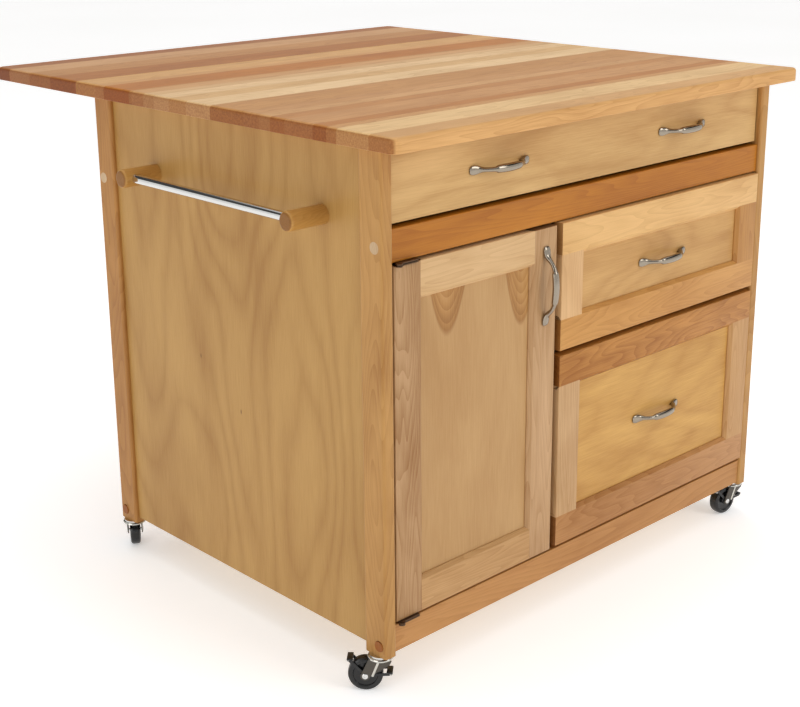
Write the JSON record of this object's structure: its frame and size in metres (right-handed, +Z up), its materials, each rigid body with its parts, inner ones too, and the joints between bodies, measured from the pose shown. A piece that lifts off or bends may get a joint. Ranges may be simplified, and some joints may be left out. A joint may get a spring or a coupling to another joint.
{
  "type": "kitchen island cart with drop leaf",
  "caption": "Wheeled wooden kitchen island with a butcher-block worktop, rear drop leaf, drawers, a cupboard door and a towel bar on the left side.",
  "frame": {"origin": "on the floor, under the middle of the whole cart's plan box with its leaf raised", "axes": "+Z up, +Y from the drawer side towards the raised leaf, +X to the right seen from the drawer side"},
  "size_m": [1.092, 1.128, 0.915],
  "materials": {
    "butcher_block": "oiled mixed-strip butcher block",
    "clear_wood": "clear lacquered solid wood",
    "rail_wood": "clear lacquered darker heartwood",
    "veneer": "clear lacquered veneered panel",
    "inner_ply": "plain birch plywood",
    "dark_plug": "dark turned plug",
    "nickel": "satin nickel",
    "chrome": "polished",
    "steel": "zinc plated",
    "wheel": "gloss black",
    "lever": "black with worn pale ends"
  },
  "bodies": {
    "cabinet": {"adjustable_shelf": "inner_ply", "back_panel": "veneer", "back_rails": "rail_wood", "bottom_panel": "inner_ply", "butcher_block_top": "butcher_block", "button_plugs": "dark_plug", "caster_stems": "chrome", "centre_divider": "inner_ply", "door_catch": "steel", "door_pivot_plates": "steel", "front_rail": "rail_wood", "leaf_hinge_fixed": "steel", "post_back_left": "clear_wood", "post_back_right": "clear_wood", "post_front_left": "clear_wood", "post_front_right": "clear_wood", "screw_plugs": "clear_wood", "shelf_pins": "steel", "side_panels": "veneer", "slide_channels": "steel", "stay_wall_brackets": "steel", "toe_rail": "rail_wood", "top_cleats": "inner_ply", "towel_bar_dowels": "clear_wood", "towel_bar_tube": "chrome", "wood_screws": "steel"},
    "leaf": {"drop_leaf": "butcher_block", "leaf_hinge_moving": "steel", "stay_leaf_brackets": "steel"},
    "stay_lower": {"stay_lower_links": "steel"},
    "stay_upper": {"stay_upper_links": "steel"},
    "door": {"door_frame": "clear_wood", "door_panel": "veneer", "door_pull": "nickel", "door_pivot_arms": "steel", "door_strike": "steel"},
    "top_drawer": {"top_drawer_front": "clear_wood", "top_drawer_box": "inner_ply", "top_drawer_runners": "steel", "top_drawer_pull": "nickel"},
    "middle_drawer": {"middle_drawer_frame": "clear_wood", "middle_drawer_panel": "veneer", "middle_drawer_box": "inner_ply", "middle_drawer_runners": "steel", "middle_drawer_pull": "nickel"},
    "deep_drawer": {"deep_drawer_frame": "clear_wood", "deep_drawer_panel": "veneer", "deep_drawer_box": "inner_ply", "deep_drawer_runners": "steel", "deep_drawer_pull": "nickel"},
    "fork_front_left": {"caster_fork_front_left": "chrome"},
    "wheel_front_left": {"caster_wheel_front_left": "wheel"},
    "brake_left": {"brake_lever_left": "lever"},
    "fork_front_right": {"caster_fork_front_right": "chrome"},
    "wheel_front_right": {"caster_wheel_front_right": "wheel"},
    "brake_right": {"brake_lever_right": "lever"},
    "fork_back_left": {"caster_fork_back_left": "chrome"},
    "wheel_back_left": {"caster_wheel_back_left": "wheel"},
    "fork_back_right": {"caster_fork_back_right": "chrome"},
    "wheel_back_right": {"caster_wheel_back_right": "wheel"}
  },
  "joints": [
    {"name": "leaf_hinge", "type": "hinge", "parent": "cabinet", "child": "leaf", "pos_m": [0.024, 0.26875, 0.8877], "axis": [-1, 0, 0], "range_deg": [0, 90]},
    {"name": "stay_lower_pivot", "type": "hinge", "parent": "cabinet", "child": "stay_lower", "pos_m": [0.024, 0.25675, 0.7417], "axis": [-1, 0, 0], "range_deg": [-46.69, 0]},
    {"name": "stay_upper_pivot", "type": "hinge", "parent": "leaf", "child": "stay_upper", "pos_m": [0.024, 0.40875, 0.8807], "axis": [-1, 0, 0], "range_deg": [0, 41.53]},
    {"name": "door_pivot", "type": "hinge", "parent": "cabinet", "child": "door", "pos_m": [-0.447, -0.519, 0.41675], "axis": [0, 0, -1], "range_deg": [0, 110]},
    {"name": "top_drawer_slide", "type": "slide", "parent": "cabinet", "child": "top_drawer", "axis": [0, -1, 0], "range_m": [0, 0.45]},
    {"name": "middle_drawer_slide", "type": "slide", "parent": "cabinet", "child": "middle_drawer", "axis": [0, -1, 0], "range_m": [0, 0.45]},
    {"name": "deep_drawer_slide", "type": "slide", "parent": "cabinet", "child": "deep_drawer", "axis": [0, -1, 0], "range_m": [0, 0.45]},
    {"name": "swivel_front_left", "type": "hinge", "parent": "cabinet", "child": "fork_front_left", "pos_m": [-0.468, -0.491, 0.0622], "axis": [0, 0, 1], "continuous": true},
    {"name": "spin_front_left", "type": "hinge", "parent": "fork_front_left", "child": "wheel_front_left", "pos_m": [-0.48505, -0.47272, 0.029], "axis": [-0.7314, -0.682, 0], "continuous": true},
    {"name": "brake_left", "type": "hinge", "parent": "fork_front_left", "child": "brake_left", "pos_m": [-0.48505, -0.47272, 0.029], "axis": [-0.7314, -0.682, 0], "range_deg": [-10, 0]},
    {"name": "swivel_front_right", "type": "hinge", "parent": "cabinet", "child": "fork_front_right", "pos_m": [0.516, -0.491, 0.0622], "axis": [0, 0, 1], "continuous": true},
    {"name": "spin_front_right", "type": "hinge", "parent": "fork_front_right", "child": "wheel_front_right", "pos_m": [0.49119, -0.48795, 0.029], "axis": [-0.1219, -0.9925, 0], "continuous": true},
    {"name": "brake_right", "type": "hinge", "parent": "fork_front_right", "child": "brake_right", "pos_m": [0.49119, -0.48795, 0.029], "axis": [-0.1219, -0.9925, 0], "range_deg": [-10, 0]},
    {"name": "swivel_back_left", "type": "hinge", "parent": "cabinet", "child": "fork_back_left", "pos_m": [-0.468, 0.219, 0.0622], "axis": [0, 0, 1], "continuous": true},
    {"name": "spin_back_left", "type": "hinge", "parent": "fork_back_left", "child": "wheel_back_left", "pos_m": [-0.45438, 0.23997, 0.029], "axis": [-0.8387, 0.5446, 0], "continuous": true},
    {"name": "swivel_back_right", "type": "hinge", "parent": "cabinet", "child": "fork_back_right", "pos_m": [0.516, 0.219, 0.0622], "axis": [0, 0, 1], "continuous": true},
    {"name": "spin_back_right", "type": "hinge", "parent": "fork_back_right", "child": "wheel_back_right", "pos_m": [0.51252, 0.24376, 0.029], "axis": [-0.9903, -0.1392, 0], "continuous": true}
  ],
  "couplings": [
    {"joint": "stay_lower_pivot", "follows": "leaf_hinge", "ratio": -0.51318},
    {"joint": "stay_upper_pivot", "follows": "leaf_hinge", "ratio": 0.45589}
  ]
}
